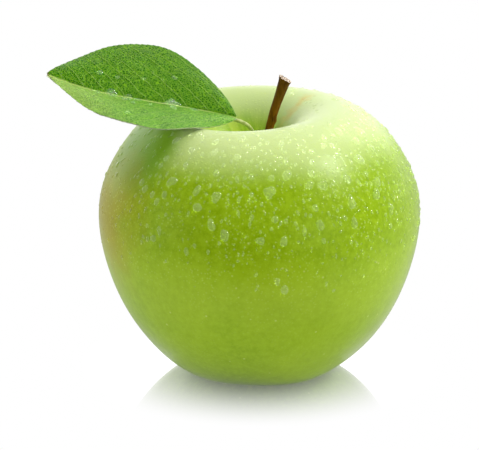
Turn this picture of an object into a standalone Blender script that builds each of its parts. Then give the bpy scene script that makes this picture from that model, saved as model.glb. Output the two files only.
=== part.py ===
"""An apple as picked: fruit, stem, one leaf, and the dried flower parts underneath.

Metres, +Z up.  The fruit rests on z = 0 and its stem cavity opens upward.  The leaf
lies out to -X, so the fruit's axis stands a little to +X of the world origin.
"""

import math

import bmesh
import bpy
from mathutils import Matrix, Vector

MM = 0.001

# Driving dimensions, in millimetres unless the comment says otherwise.  Places are
# measured from the foot of the fruit's axis.
FRUIT_AXIS_X = 5.95         # centres the whole apple, leaf included, on the origin

# The fruit: sizes of its control cage.  Smoothing draws the belly in by about 0.6 mm.
FRUIT_RADIUS = 40.6
WIDEST_HEIGHT = 42.0
RESTING_RADIUS = 13.0       # the ring that it stands on
RESTING_SINK = 1.6          # how far that ring dips below the ground before it is cut flat
RIM_RADIUS = 22.0           # the crest round the stem cavity
RIM_HEIGHT = 67.3
BASIN_DEPTH = 8.2           # the calyx basin underneath
CAVITY_DEPTH = 15.9         # the stem cavity on top
LOWER_FULLNESS = 1.85       # of the belly's curves: 1 is a cone, 2 an ellipse
UPPER_FULLNESS = 1.55
BASIN_BANDS = 3             # rings are spaced evenly within each part of the outline
LOWER_BANDS = 4
UPPER_BANDS = 3
CAVITY_BANDS = 4
CAVITY_SHIFT = 5.0          # the cavity's walls lean this far toward the leaf
BASE_LOBE = 0.3             # depth of the lobes underneath
CROWN_LOBE = 0.6            # height of the lobes round the rim
LOBES = 5
SIDES_PER_LOBE = 2
LOBE_TURN = 11.0            # degrees from +X to the first lobe
RIM_TILT = 0.03             # rise of the rim for each unit toward +X
FRUIT_SMOOTHING = 2         # subdivision steps
GROUND_BLOCK = 60.0         # side of the block that cuts the resting flat

# The stem: points up its middle, as x, y, z and the radius there.
STEM_POINTS = (
    (0.3, 0.0, 54.0, 1.15),
    (1.2, 0.0, 57.0, 1.05),
    (2.4, 0.0, 61.5, 1.0),
    (3.6, 0.0, 66.0, 1.05),
    (5.0, 0.0, 70.2, 1.2),
    (6.3, 0.0, 74.2, 1.5),
)

# The leaf: a blade folded along its midrib, on a thin stalk of its own.
MIDRIB_BASE = (-5.5, -6.0, 66.0)
MIDRIB_TIP = (-52.0, -2.0, 76.0)
MIDRIB_SAG = 1.4            # how far the outer half of the midrib hangs below a straight line
LEAF_HALF_WIDTH = 18.0
LEAF_THICKNESS = 0.5
LEAF_WIDEST = 0.46          # share of the blade's length, from its base
LEAF_FULLNESS = 0.85        # below 1, the blade's outline is fuller than a sine
NEAR_TIP_FULLNESS = 1.2     # the near half is slimmer toward the tip
LEAF_BLUNT_BASE = 0.02      # shares of the length left off the two points
LEAF_BLUNT_TIP = 0.01
FAR_HALF_RISE = 35.0        # degrees that the half toward +Y rises
NEAR_HALF_DROP = 4.0        # degrees that the half toward -Y drops
TIP_CURL = 40.0             # further degrees of drop at the very tip
TIP_CURL_POWER = 6
LEAF_STEPS_LONG = 22
LEAF_STEPS_ACROSS = 10
PETIOLE_POINTS = (
    (-0.5, -2.6, 54.6, 0.55),
    (-0.9, -3.4, 58.5, 0.45),
    (-2.0, -4.5, 62.6, 0.45),
    (-5.4, -6.0, 65.6, 0.5),
    (-10.4, -5.4, 67.3, 0.5),
)

# The dried sepals and stamens in the calyx basin.
SEPAL_LENGTH = 4.2
SEPAL_HALF_WIDTH = 1.0
SEPAL_TAPER = 0.75          # share of the width lost by the tip
SEPAL_CUP = 0.25            # how far the edges stand out from the middle
SEPAL_CURL = 1.7            # how far the tip curls outward
SEPAL_THICKNESS = 0.4
SEPAL_RING_RADIUS = 1.9
SEPAL_TOP = 6.8
OUTER_STAMENS = 8
STAMEN_TOP = 6.5
STAMEN_LENGTH = 3.4
STAMEN_RADIUS = 0.16
STAMEN_FOOT = 0.6           # from the axis to an outer stamen's foot
STAMEN_LEAN = 16.0          # degrees
SHORT_STAMEN_STEP = 0.12    # share of its length that each third stamen lacks
STAMEN_DISC_RADIUS = 0.9
STAMEN_DISC_DEPTH = 0.7

WELD = 0.001                # points nearer than this become one


def clear_scene():
    for old in list(bpy.data.objects):
        bpy.data.objects.remove(old, do_unlink=True)


def new_collection(name):
    collection = bpy.data.collections.new(name)
    bpy.context.scene.collection.children.link(collection)
    return collection


def make_material(name, colour, roughness):
    material = bpy.data.materials.new(name)
    material.use_nodes = True
    shader = material.node_tree.nodes["Principled BSDF"]
    shader.inputs["Base Color"].default_value = (*colour, 1.0)
    shader.inputs["Roughness"].default_value = roughness
    shader.inputs["Metallic"].default_value = 0.0
    return material


def add_object(name, mesh, collection, material=None):
    """Every piece is modelled about the fruit's axis and set on it here."""
    thing = bpy.data.objects.new(name, mesh)
    thing.location.x = FRUIT_AXIS_X * MM
    collection.objects.link(thing)
    if material:
        mesh.materials.append(material)
    return thing


def add_cutter(name, mesh, collection):
    cutter = add_object(name, mesh, collection)
    cutter.hide_render = True
    cutter.display_type = "WIRE"
    return cutter


def mesh_from(bm, name):
    mesh = bpy.data.meshes.new(name)
    bm.to_mesh(mesh)
    bm.free()
    return mesh


def add_boolean(thing, cutter, operation):
    modifier = thing.modifiers.new(operation.lower(), "BOOLEAN")
    modifier.operation = operation
    modifier.solver = "EXACT"
    modifier.object = cutter


def add_sheet(thing, thickness):
    sheet = thing.modifiers.new("sheet", "SOLIDIFY")
    sheet.thickness = thickness * MM
    sheet.offset = 0.0


def tube(name, points, bevel_resolution):
    """A mesh of a round rod along points (x, y, z, radius), with closed ends."""
    curve = bpy.data.curves.new(name, "CURVE")
    curve.dimensions = "3D"
    curve.bevel_depth = MM
    curve.bevel_resolution = bevel_resolution
    curve.resolution_u = 5
    curve.use_fill_caps = True
    spline = curve.splines.new("BEZIER")
    spline.bezier_points.add(len(points) - 1)
    for point, (x, y, z, radius) in zip(spline.bezier_points, points):
        point.co = Vector((x, y, z)) * MM
        point.radius = radius
        point.handle_left_type = "AUTO"
        point.handle_right_type = "AUTO"
    rod = bpy.data.objects.new(name, curve)
    bpy.context.scene.collection.objects.link(rod)
    depsgraph = bpy.context.evaluated_depsgraph_get()
    mesh = bpy.data.meshes.new_from_object(rod.evaluated_get(depsgraph))
    mesh.transform(rod.matrix_world)
    bpy.data.objects.remove(rod)

    bm = bmesh.new()
    bm.from_mesh(mesh)
    bmesh.ops.remove_doubles(bm, verts=bm.verts, dist=WELD * MM)
    bmesh.ops.recalc_face_normals(bm, faces=bm.faces)
    bm.to_mesh(mesh)
    bm.free()
    return mesh


def quarter_curve(share, fullness):
    """How far out and how far along a quarter of a rounded curve has come, both 0 to 1."""
    turn = math.pi / 2.0 * share
    return math.sin(turn) ** (2.0 / fullness), 1.0 - max(math.cos(turn), 0.0) ** (2.0 / fullness)


def fruit_rings():
    """The cage from calyx to stem: ring radius, ring height, shift toward +X, lobe height."""
    rings = []
    for step in range(1, BASIN_BANDS):
        share = step / BASIN_BANDS
        height = BASIN_DEPTH * (1.0 - share ** 3) ** 2 - RESTING_SINK * share
        rings.append((RESTING_RADIUS * share, height, 0.0, -BASE_LOBE * share))
    for step in range(LOWER_BANDS + 1):
        share = step / LOWER_BANDS
        outward, upward = quarter_curve(share, LOWER_FULLNESS)
        radius = RESTING_RADIUS + (FRUIT_RADIUS - RESTING_RADIUS) * outward
        height = WIDEST_HEIGHT * upward - RESTING_SINK * (1.0 - share) ** 2
        rings.append((radius, height, 0.0, -BASE_LOBE * (1.0 - share) ** 2))
    for step in range(1, UPPER_BANDS + 1):
        share = step / UPPER_BANDS
        upward, inward = quarter_curve(share, UPPER_FULLNESS)
        radius = FRUIT_RADIUS - (FRUIT_RADIUS - RIM_RADIUS) * inward
        height = WIDEST_HEIGHT + (RIM_HEIGHT - WIDEST_HEIGHT) * upward
        rings.append((radius, height, cavity_shift(1.0) * share ** 4, CROWN_LOBE * share ** 2))
    for step in range(1, CAVITY_BANDS):
        share = 1.0 - step / CAVITY_BANDS
        height = RIM_HEIGHT - CAVITY_DEPTH * (1.0 - share ** 2) ** 3
        rings.append((RIM_RADIUS * share, height, cavity_shift(share), CROWN_LOBE * share ** 2))
    return rings


def cavity_shift(share):
    """How far the cavity's wall is off the axis, at a share of the way out to the rim."""
    return -CAVITY_SHIFT * math.sin(0.85 * math.pi * share)


def cage_corner(ring, turn):
    """A corner of the fruit's cage, its ring counted from the calyx pole."""
    rings = fruit_rings()
    if ring == 0:
        return Vector((0.0, 0.0, BASIN_DEPTH)) * MM
    if ring > len(rings):
        return Vector((0.0, 0.0, RIM_HEIGHT - CAVITY_DEPTH)) * MM
    radius, height, shift, lobe = rings[ring - 1]
    # Smoothing draws a ring in to this share of its cage's radius.
    draw_in = (4.0 + 2.0 * math.cos(2.0 * math.pi / (LOBES * SIDES_PER_LOBE))) / 6.0
    x = radius * math.cos(turn) / draw_in
    y = radius * math.sin(turn) / draw_in
    lobe_rise = lobe * math.cos(LOBES * (turn - math.radians(LOBE_TURN)))
    rim_share = max(0.0, height - WIDEST_HEIGHT) / (RIM_HEIGHT - WIDEST_HEIGHT)
    return Vector((x + shift, y, height + lobe_rise + RIM_TILT * x * rim_share)) * MM


def build_fruit(collection, cutters, material):
    """A ball whose rings are set to the cage, smoothed, and cut flat where it stands."""
    bands = len(fruit_rings()) + 1
    bm = bmesh.new()
    bmesh.ops.create_uvsphere(bm, u_segments=LOBES * SIDES_PER_LOBE, v_segments=bands, radius=1.0)
    for corner in bm.verts:
        from_pole = math.acos(max(-1.0, min(1.0, -corner.co.z)))
        turn = math.atan2(corner.co.y, corner.co.x) + math.radians(LOBE_TURN)
        corner.co = cage_corner(round(from_pole / math.pi * bands), turn)
    fruit = add_object("fruit", mesh_from(bm, "fruit"), collection, material)
    smoothing = fruit.modifiers.new("smoothing", "SUBSURF")
    smoothing.levels = FRUIT_SMOOTHING
    smoothing.render_levels = FRUIT_SMOOTHING

    side = GROUND_BLOCK * MM
    block = bmesh.new()
    bmesh.ops.create_cube(block, size=side, matrix=Matrix.Translation((0.0, 0.0, -side / 2.0)))
    ground = add_cutter("ground_block", mesh_from(block, "ground_block"), cutters)
    add_boolean(fruit, ground, "DIFFERENCE")
    return fruit


def build_stem(collection, material):
    """A woody stalk, slimmest at its middle and flared where it broke from the twig."""
    return add_object("stem", tube("stem", STEM_POINTS, 3), collection, material)


def leaf_half_width(share, tip_fullness):
    """Half the blade's width at a share of its length, from its base to its tip."""
    bulge = math.sin(math.pi * share ** (math.log(0.5) / math.log(LEAF_WIDEST)))
    fullness = tip_fullness if share > LEAF_WIDEST else LEAF_FULLNESS
    return LEAF_HALF_WIDTH * max(bulge, 0.0) ** fullness


def leaf_point(share, across):
    """A place on the blade, across running from -1 at the near edge to 1 at the far edge."""
    middle = Vector(MIDRIB_BASE).lerp(Vector(MIDRIB_TIP), share)
    middle.z -= MIDRIB_SAG * math.sin(math.pi * share ** 2)
    if across > 0.0:
        angle = math.radians(FAR_HALF_RISE)
        side = Vector((0.0, math.cos(angle), math.sin(angle)))
        side *= leaf_half_width(share, LEAF_FULLNESS)
    else:
        angle = math.radians(NEAR_HALF_DROP + TIP_CURL * share ** TIP_CURL_POWER)
        side = Vector((0.0, -math.cos(angle), -math.sin(angle)))
        side *= leaf_half_width(share, NEAR_TIP_FULLNESS)
    return (middle + side * abs(across)) * MM


def build_leaf(collection, cutters, material):
    """The blade as a thickened sheet, with its stalk and midrib grown into it."""
    bm = bmesh.new()
    bmesh.ops.create_grid(bm, x_segments=LEAF_STEPS_LONG, y_segments=LEAF_STEPS_ACROSS, size=1.0)
    drawn_length = 1.0 - LEAF_BLUNT_BASE - LEAF_BLUNT_TIP
    for corner in bm.verts:
        share = LEAF_BLUNT_BASE + drawn_length * (corner.co.x + 1.0) / 2.0
        corner.co = leaf_point(share, corner.co.y)
    leaf = add_object("leaf", mesh_from(bm, "leaf"), collection, material)
    add_sheet(leaf, LEAF_THICKNESS)
    stalk = add_cutter("leaf_stalk", tube("leaf_stalk", PETIOLE_POINTS, 2), cutters)
    add_boolean(leaf, stalk, "UNION")
    return leaf


def build_sepal(number, collection, material):
    """A small dry tongue that hangs in the basin, its tip curled outward."""
    bm = bmesh.new()
    bmesh.ops.create_grid(bm, x_segments=6, y_segments=4, size=1.0)
    for corner in bm.verts:
        share = (corner.co.x + 1.0) / 2.0
        across = corner.co.y
        outward = SEPAL_RING_RADIUS + SEPAL_CURL * share ** 3 + SEPAL_CUP * across ** 2
        sideways = SEPAL_HALF_WIDTH * (1.0 - SEPAL_TAPER * share ** 2) * across
        corner.co = Vector((outward, sideways, SEPAL_TOP - SEPAL_LENGTH * share)) * MM
    name = "sepal_%d" % (number + 1)
    sepal = add_object(name, mesh_from(bm, name), collection, material)
    add_sheet(sepal, SEPAL_THICKNESS)
    sepal.rotation_euler.z = math.radians(LOBE_TURN + 360.0 / LOBES * number)
    return sepal


def build_stamen_tuft(collection, cutters, material):
    """The dried stamens, still standing together on the small disc that they grew from."""
    disc = bmesh.new()
    bmesh.ops.create_cone(
        disc,
        cap_ends=True,
        segments=20,
        radius1=STAMEN_DISC_RADIUS * MM,
        radius2=STAMEN_DISC_RADIUS * MM,
        depth=STAMEN_DISC_DEPTH * MM,
        matrix=Matrix.Translation((0.0, 0.0, STAMEN_TOP * MM)),
    )
    tuft = add_object("stamen_tuft", mesh_from(disc, "stamen_tuft"), collection, material)
    for number in range(OUTER_STAMENS + 1):
        turn = 2.0 * math.pi * number / OUTER_STAMENS
        outward = Vector((math.cos(turn), math.sin(turn), 0.0))
        foot = outward * STAMEN_FOOT
        lean = math.radians(STAMEN_LEAN)
        if number == OUTER_STAMENS:
            foot = Vector()
            lean = 0.0
        foot.z = STAMEN_TOP
        length = STAMEN_LENGTH * (1.0 - SHORT_STAMEN_STEP * (number % 3))
        tip = foot + outward * length * math.sin(lean)
        tip.z -= length * math.cos(lean)
        name = "stamen_%d" % (number + 1)
        rod = tube(name, ((*foot, STAMEN_RADIUS), (*tip, STAMEN_RADIUS)), 1)
        add_boolean(tuft, add_cutter(name, rod, cutters), "UNION")
    return tuft


def main():
    clear_scene()
    apple = new_collection("apple")
    cutters = new_collection("cutters")

    skin = make_material("green_apple_skin", (0.36, 0.48, 0.06), 0.35)
    bark = make_material("brown_stem_bark", (0.13, 0.07, 0.02), 0.7)
    leaf_green = make_material("green_leaf", (0.13, 0.32, 0.03), 0.45)
    dried_green = make_material("dried_sepal", (0.20, 0.15, 0.07), 0.85)
    dried_brown = make_material("dried_stamen", (0.10, 0.06, 0.03), 0.85)

    pieces = [
        build_fruit(apple, cutters, skin),
        build_stem(apple, bark),
        build_leaf(apple, cutters, leaf_green),
        build_stamen_tuft(apple, cutters, dried_brown),
    ]
    for number in range(LOBES):
        pieces.append(build_sepal(number, apple, dried_green))
    for piece in pieces:
        piece.data.shade_smooth()


main()
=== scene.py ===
import math
import random

import bmesh
import bpy
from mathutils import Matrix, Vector, noise
from mathutils.bvhtree import BVHTree


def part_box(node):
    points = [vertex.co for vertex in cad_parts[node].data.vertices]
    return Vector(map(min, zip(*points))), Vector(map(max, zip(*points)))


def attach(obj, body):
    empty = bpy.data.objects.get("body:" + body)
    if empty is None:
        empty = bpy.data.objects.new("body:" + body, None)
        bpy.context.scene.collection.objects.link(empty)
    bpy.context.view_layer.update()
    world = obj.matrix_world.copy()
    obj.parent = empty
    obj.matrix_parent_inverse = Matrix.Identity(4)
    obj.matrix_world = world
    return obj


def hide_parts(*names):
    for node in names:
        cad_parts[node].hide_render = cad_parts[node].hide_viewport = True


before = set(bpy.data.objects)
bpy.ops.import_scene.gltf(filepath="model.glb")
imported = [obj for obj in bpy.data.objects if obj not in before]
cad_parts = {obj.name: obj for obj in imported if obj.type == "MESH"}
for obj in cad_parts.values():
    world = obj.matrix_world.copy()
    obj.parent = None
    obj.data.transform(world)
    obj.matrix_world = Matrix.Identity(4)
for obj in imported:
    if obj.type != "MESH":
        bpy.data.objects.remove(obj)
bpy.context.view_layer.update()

MM = 0.001


# ---------------------------------------------------------------------------
# Fruit.  A green eating apple grown as one piece: crisp flesh under a thin tough skin,
# which the plant coats with its own wax.  It stands on a narrow ring of low lobes round
# the calyx basin, and the stem comes out of the deeper cavity on top.

# Sizes of the control cage, in millimetres from the foot of the axis.  Smoothing draws the
# belly in by about 0.9 mm.
FRUIT_RADIUS = 40.6
WIDEST_HEIGHT = 42.0
RESTING_RADIUS = 13.0       # the ring that it stands on
RESTING_SINK = 1.6          # how far that ring dips before it is flattened
RIM_RADIUS = 22.0           # the crest round the stem cavity
RIM_HEIGHT = 67.3
BASIN_DEPTH = 8.2           # the calyx basin underneath
CAVITY_DEPTH = 15.9         # the stem cavity on top
LOWER_FULLNESS = 1.85       # of the belly's curves: 1 is a cone, 2 an ellipse
UPPER_FULLNESS = 1.55
BASIN_BANDS = 3             # rings are spaced evenly within each part of the outline
LOWER_BANDS = 4
UPPER_BANDS = 3
CAVITY_BANDS = 4
CAVITY_SHIFT = 5.0          # the cavity's walls lean this far toward the leaf
BASE_LOBE = 0.3             # depth of the lobes underneath
CROWN_LOBE = 0.6            # height of the lobes round the rim
RIM_TILT = 0.03
LOBES = 5
LOBE_TURN = math.radians(11.0)
KNOB_HEIGHT = 0.18          # the five knobs round the calyx
PUCKER_DEPTH = 0.35         # creases where the skin gathers into the calyx
UNEVENNESS = 0.12
RUSSET_TURN = math.radians(41.0)


def hex_colour(code):
    """An sRGB hex colour as the linear colour that the shader needs."""
    parts = [int(code[i:i + 2], 16) / 255.0 for i in (1, 3, 5)]
    linear = [c / 12.92 if c <= 0.04045 else ((c + 0.055) / 1.055) ** 2.4 for c in parts]
    return (*linear, 1.0)


def smooth_step(low, high, value):
    """0 below low, 1 above high, and an even curve between them."""
    t = min(1.0, max(0.0, (value - low) / (high - low)))
    return t * t * (3.0 - 2.0 * t)


def quarter_curve(share, fullness):
    """How far out and how far along a quarter of a rounded curve has come, both 0 to 1."""
    turn = math.pi / 2.0 * share
    return math.sin(turn) ** (2.0 / fullness), 1.0 - max(math.cos(turn), 0.0) ** (2.0 / fullness)


def cavity_shift(share):
    """How far the cavity's wall is off the axis, at a share of the way out to the rim."""
    return -CAVITY_SHIFT * math.sin(0.85 * math.pi * share)


def fruit_rings():
    """The cage from calyx to stem: ring radius, ring height, shift toward +X, lobe height."""
    rings = []
    for step in range(1, BASIN_BANDS):
        share = step / BASIN_BANDS
        height = BASIN_DEPTH * (1.0 - share ** 3) ** 2 - RESTING_SINK * share
        rings.append((RESTING_RADIUS * share, height, 0.0, -BASE_LOBE * share))
    for step in range(LOWER_BANDS + 1):
        share = step / LOWER_BANDS
        outward, upward = quarter_curve(share, LOWER_FULLNESS)
        radius = RESTING_RADIUS + (FRUIT_RADIUS - RESTING_RADIUS) * outward
        height = WIDEST_HEIGHT * upward - RESTING_SINK * (1.0 - share) ** 2
        rings.append((radius, height, 0.0, -BASE_LOBE * (1.0 - share) ** 2))
    for step in range(1, UPPER_BANDS + 1):
        share = step / UPPER_BANDS
        upward, inward = quarter_curve(share, UPPER_FULLNESS)
        radius = FRUIT_RADIUS - (FRUIT_RADIUS - RIM_RADIUS) * inward
        height = WIDEST_HEIGHT + (RIM_HEIGHT - WIDEST_HEIGHT) * upward
        rings.append((radius, height, cavity_shift(1.0) * share ** 4, CROWN_LOBE * share ** 2))
    for step in range(1, CAVITY_BANDS):
        share = 1.0 - step / CAVITY_BANDS
        height = RIM_HEIGHT - CAVITY_DEPTH * (1.0 - share ** 2) ** 3
        rings.append((RIM_RADIUS * share, height, cavity_shift(share), CROWN_LOBE * share ** 2))
    return rings


def cage_corner(rings, ring, turn):
    if ring == 0:
        return Vector((0.0, 0.0, BASIN_DEPTH)) * MM
    if ring > len(rings):
        return Vector((0.0, 0.0, RIM_HEIGHT - CAVITY_DEPTH)) * MM
    radius, height, shift, lobe = rings[ring - 1]
    draw_in = (4.0 + 2.0 * math.cos(math.pi / LOBES)) / 6.0
    x = radius * math.cos(turn) / draw_in
    y = radius * math.sin(turn) / draw_in
    rim_share = max(0.0, height - WIDEST_HEIGHT) / (RIM_HEIGHT - WIDEST_HEIGHT)
    z = height + lobe * math.cos(LOBES * (turn - LOBE_TURN)) + RIM_TILT * x * rim_share
    return Vector((x + shift, y, z)) * MM


def smooth_cage_mesh(name, levels):
    """The ball of rings set to the cage and subdivided, as a plain mesh."""
    rings = fruit_rings()
    bands = len(rings) + 1
    bm = bmesh.new()
    bmesh.ops.create_uvsphere(bm, u_segments=2 * LOBES, v_segments=bands, radius=1.0)
    for corner in bm.verts:
        from_pole = math.acos(max(-1.0, min(1.0, -corner.co.z)))
        turn = math.atan2(corner.co.y, corner.co.x) + LOBE_TURN
        corner.co = cage_corner(rings, round(from_pole / math.pi * bands), turn)
    cage = bpy.data.meshes.new(name)
    bm.to_mesh(cage)
    bm.free()
    holder = bpy.data.objects.new(name, cage)
    bpy.context.scene.collection.objects.link(holder)
    holder.modifiers.new("smoothing", "SUBSURF").levels = levels
    holder.modifiers["smoothing"].render_levels = levels
    evaluated = holder.evaluated_get(bpy.context.evaluated_depsgraph_get())
    mesh = bpy.data.meshes.new_from_object(evaluated)
    bpy.data.objects.remove(holder)
    return mesh


def grow_uneven(mesh):
    """Adds what the cage is too coarse for: knobs and puckers round the calyx, soft dents."""
    moves = []
    for corner in mesh.vertices:
        x, y, z = corner.co / MM
        radius = math.hypot(x, y)
        turn = math.atan2(y, x) - LOBE_TURN
        low_outside = smooth_step(14.0, 20.0, radius) * (1.0 - smooth_step(6.0, 22.0, z))
        knob = KNOB_HEIGHT * math.cos(LOBES * turn) * low_outside
        in_basin = (1.0 - smooth_step(3.0, 9.5, radius)) * (1.0 - smooth_step(8.0, 12.0, z))
        pucker = -PUCKER_DEPTH * abs(math.sin(LOBES * turn)) ** 3 * in_basin * smooth_step(0.5, 3.0, radius)
        dent = UNEVENNESS * noise.noise(Vector((x, y, z)) / 14.0)
        moves.append(corner.normal * (knob + pucker + dent) * MM)
    for corner, move in zip(mesh.vertices, moves):
        corner.co += move
        corner.co.z = max(corner.co.z, 0.0)


def new_object(name, data):
    made = bpy.data.objects.new(name, data)
    bpy.context.scene.collection.objects.link(made)
    return made


fruit_mesh = smooth_cage_mesh("fruit_skin", 4)
grow_uneven(fruit_mesh)
fruit_mesh.shade_smooth()
fruit_skin = new_object("fruit_skin", fruit_mesh)

# The skin takes the place of the plain fruit: same middle, same ground.
fruit_low, fruit_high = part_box("fruit")
skin_x = [corner.co.x for corner in fruit_mesh.vertices]
AXIS_X = (fruit_low.x + fruit_high.x) / 2.0 - (min(skin_x) + max(skin_x)) / 2.0
AXIS_FOOT = Vector((AXIS_X, 0.0, 0.0))
fruit_skin.location = AXIS_FOOT
bpy.context.view_layer.update()


def add(tree, kind, sockets=None, stops=None, **settings):
    """Adds a node with its settings, its socket values or links, and any ramp stops."""
    made = tree.nodes.new(kind)
    for name, value in settings.items():
        setattr(made, name, value)
    for name, value in (sockets or {}).items():
        if isinstance(value, bpy.types.NodeSocket):
            tree.links.new(value, made.inputs[name])
        else:
            made.inputs[name].default_value = value
    for number, (place, colour) in enumerate(stops or ()):
        ramp = made.color_ramp.elements
        stop = ramp[number] if number < 2 else ramp.new(place)
        stop.position = place
        stop.color = colour
    return made


def new_material(name):
    """A material with nothing in it but its output and one Principled shader."""
    material = bpy.data.materials.new(name)
    material.use_nodes = True
    return material, material.node_tree, material.node_tree.nodes["Principled BSDF"]


# Waxed apple skin.  The wax gives a soft, wide sheen over a saturated green, and the flesh
# just below lets a little light through.  The crown is pale, partly its own tone and partly painted light
# from above; small pale pores dot it, and a ray of tan russet runs down into the stem cavity.
# Painted shade deepens a band round the belly and the shoulder under the leaf.
apple_skin, tree, shader = new_material("waxed_apple_skin")
place = add(tree, "ShaderNodeTexCoord").outputs["Object"]
in_mm = add(tree, "ShaderNodeVectorMath", {0: place, 1: (1000.0, 1000.0, 1000.0)},
            operation="MULTIPLY").outputs[0]
parts = add(tree, "ShaderNodeSeparateXYZ", {0: in_mm})
height = parts.outputs["Z"]
flat = add(tree, "ShaderNodeCombineXYZ", {"X": parts.outputs["X"], "Y": parts.outputs["Y"]}).outputs[0]
from_axis = add(tree, "ShaderNodeVectorMath", {0: flat}, operation="LENGTH").outputs["Value"]
outward = add(tree, "ShaderNodeVectorMath", {0: flat}, operation="NORMALIZE").outputs[0]
slow_height = add(tree, "ShaderNodeMath", {0: height, 1: 0.012}, operation="MULTIPLY").outputs[0]
lift = add(tree, "ShaderNodeCombineXYZ", {"Z": slow_height}).outputs[0]
meridian = add(tree, "ShaderNodeVectorMath", {0: outward, 1: lift}, operation="ADD").outputs[0]

# Broad patches, tens of millimetres across.
patches = add(tree, "ShaderNodeTexNoise", {"Vector": in_mm, "Scale": 0.045, "Detail": 3.0}).outputs["Fac"]
patch_share = add(tree, "ShaderNodeMapRange", {0: patches, 1: 0.35, 2: 0.65}).outputs[0]
green = add(tree, "ShaderNodeMix", {0: patch_share, 6: hex_colour("#85a800"), 7: hex_colour("#95b602")},
            data_type="RGBA").outputs[2]

# Painted shade: a deeper green in a band round the belly, a little above where the fruit is widest.
middle = add(tree, "ShaderNodeMath", {0: height, 1: 49.0}, operation="SUBTRACT").outputs[0]
middle_off = add(tree, "ShaderNodeMath", {0: middle}, operation="ABSOLUTE").outputs[0]
belly_shade_share = add(tree, "ShaderNodeMapRange", {0: middle_off, 1: 3.0, 2: 15.0, 3: 0.75, 4: 0.0},
                 interpolation_type="SMOOTHSTEP").outputs[0]
green = add(tree, "ShaderNodeMix", {0: belly_shade_share, 6: green, 7: hex_colour("#7c9c00")},
            data_type="RGBA").outputs[2]

# Streaks along the meridians, about 1.5 mm apart on the belly.
streaks = add(tree, "ShaderNodeTexNoise", {"Vector": meridian, "Scale": 26.0, "Detail": 4.0,
                                           "Roughness": 0.6}).outputs["Fac"]
streak_share = add(tree, "ShaderNodeMapRange", {0: streaks, 1: 0.50, 2: 0.75, 3: 0.0, 4: 0.25}).outputs[0]
streaked = add(tree, "ShaderNodeMix", {0: streak_share, 6: green, 7: hex_colour("#aecb2c")},
               data_type="RGBA").outputs[2]

# Mottle: cells of skin and of the flesh below it, lighter and darker by a shade.
mottle = add(tree, "ShaderNodeTexNoise", {"Vector": in_mm, "Scale": 0.55, "Detail": 6.0,
                                          "Roughness": 0.75}).outputs["Fac"]
mottle_share = add(tree, "ShaderNodeMapRange", {0: mottle, 1: 0.38, 2: 0.66, 3: 0.0, 4: 0.55}).outputs[0]
streaked = add(tree, "ShaderNodeMix", {0: mottle_share, 6: streaked, 7: hex_colour("#a6c826")},
               data_type="RGBA").outputs[2]

# A paler cloudy band round the lower belly.
pale_band_cloud = add(tree, "ShaderNodeTexNoise", {"Vector": in_mm, "Scale": 0.10, "Detail": 5.0,
                                               "Roughness": 0.65}).outputs["Fac"]
pale_band_height = add(tree, "ShaderNodeMath", {0: pale_band_cloud, 1: 14.0, 2: height},
                   operation="MULTIPLY_ADD").outputs[0]
pale_band_place = add(tree, "ShaderNodeMath", {0: pale_band_height, 1: 60.0}, operation="DIVIDE").outputs[0]
no_pale_band = (0.0, 0.0, 0.0, 1.0)
full_pale_band = (0.13, 0.13, 0.13, 1.0)
pale_band_share = add(tree, "ShaderNodeValToRGB", {0: pale_band_place}, stops=(
    (0.40, no_pale_band), (0.56, full_pale_band), (0.66, full_pale_band), (0.80, no_pale_band))).outputs["Color"]
pale_banded = add(tree, "ShaderNodeMix", {0: pale_band_share, 6: streaked, 7: hex_colour("#c6dc5c")},
              data_type="RGBA").outputs[2]

# The crown is paler than the belly: partly its own tone and partly painted light, the brightness and pale
# sheen that fall on the top.
crown_ragged = add(tree, "ShaderNodeMath", {0: patches, 1: 4.0, 2: height},
                   operation="MULTIPLY_ADD").outputs[0]
crown_pale_and_lit_share = add(tree, "ShaderNodeMapRange", {0: crown_ragged, 1: 57.5, 2: 68.0, 3: 0.0, 4: 0.95},
                  interpolation_type="SMOOTHSTEP").outputs[0]
crowned = add(tree, "ShaderNodeMix", {0: crown_pale_and_lit_share, 6: pale_banded, 7: hex_colour("#cddf96")},
              data_type="RGBA").outputs[2]

# Painted shadow: under the leaf the left shoulder is painted a deep green, for the leaf's shadow on it.
leaf_shadow_from = add(tree, "ShaderNodeVectorMath", {0: in_mm, 1: (-29.0, -12.0, 62.0)},
                 operation="DISTANCE").outputs["Value"]
leaf_shadow_edge = add(tree, "ShaderNodeMath", {0: patches, 1: 8.0, 2: leaf_shadow_from},
                 operation="MULTIPLY_ADD").outputs[0]
painted_leaf_shadow = add(tree, "ShaderNodeMapRange", {0: leaf_shadow_edge, 1: 13.0, 2: 21.0, 3: 1.0, 4: 0.0},
                  interpolation_type="SMOOTHSTEP").outputs[0]
crowned = add(tree, "ShaderNodeMix", {0: painted_leaf_shadow, 6: crowned, 7: hex_colour("#709c00")},
              data_type="RGBA").outputs[2]

# Down in the stem cavity it turns green again, in fine stripes.
depth = add(tree, "ShaderNodeMapRange", {0: height, 1: 64.5, 2: 56.0, 3: 0.0, 4: 1.0},
            interpolation_type="SMOOTHSTEP").outputs[0]
near_axis = add(tree, "ShaderNodeMapRange", {0: from_axis, 1: 17.0, 2: 13.0}).outputs[0]
in_cavity = add(tree, "ShaderNodeMath", {0: depth, 1: near_axis}, operation="MULTIPLY").outputs[0]
stripes = add(tree, "ShaderNodeTexNoise", {"Vector": meridian, "Scale": 9.0, "Detail": 4.0}).outputs["Fac"]
stripe_share = add(tree, "ShaderNodeMapRange", {0: stripes, 1: 0.38, 2: 0.60}).outputs[0]
stripe_green = add(tree, "ShaderNodeMix", {0: stripe_share, 6: hex_colour("#8cc000"),
                                           7: hex_colour("#c6e04c")}, data_type="RGBA").outputs[2]
hollowed = add(tree, "ShaderNodeMix", {0: in_cavity, 6: crowned, 7: stripe_green},
               data_type="RGBA").outputs[2]

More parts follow.
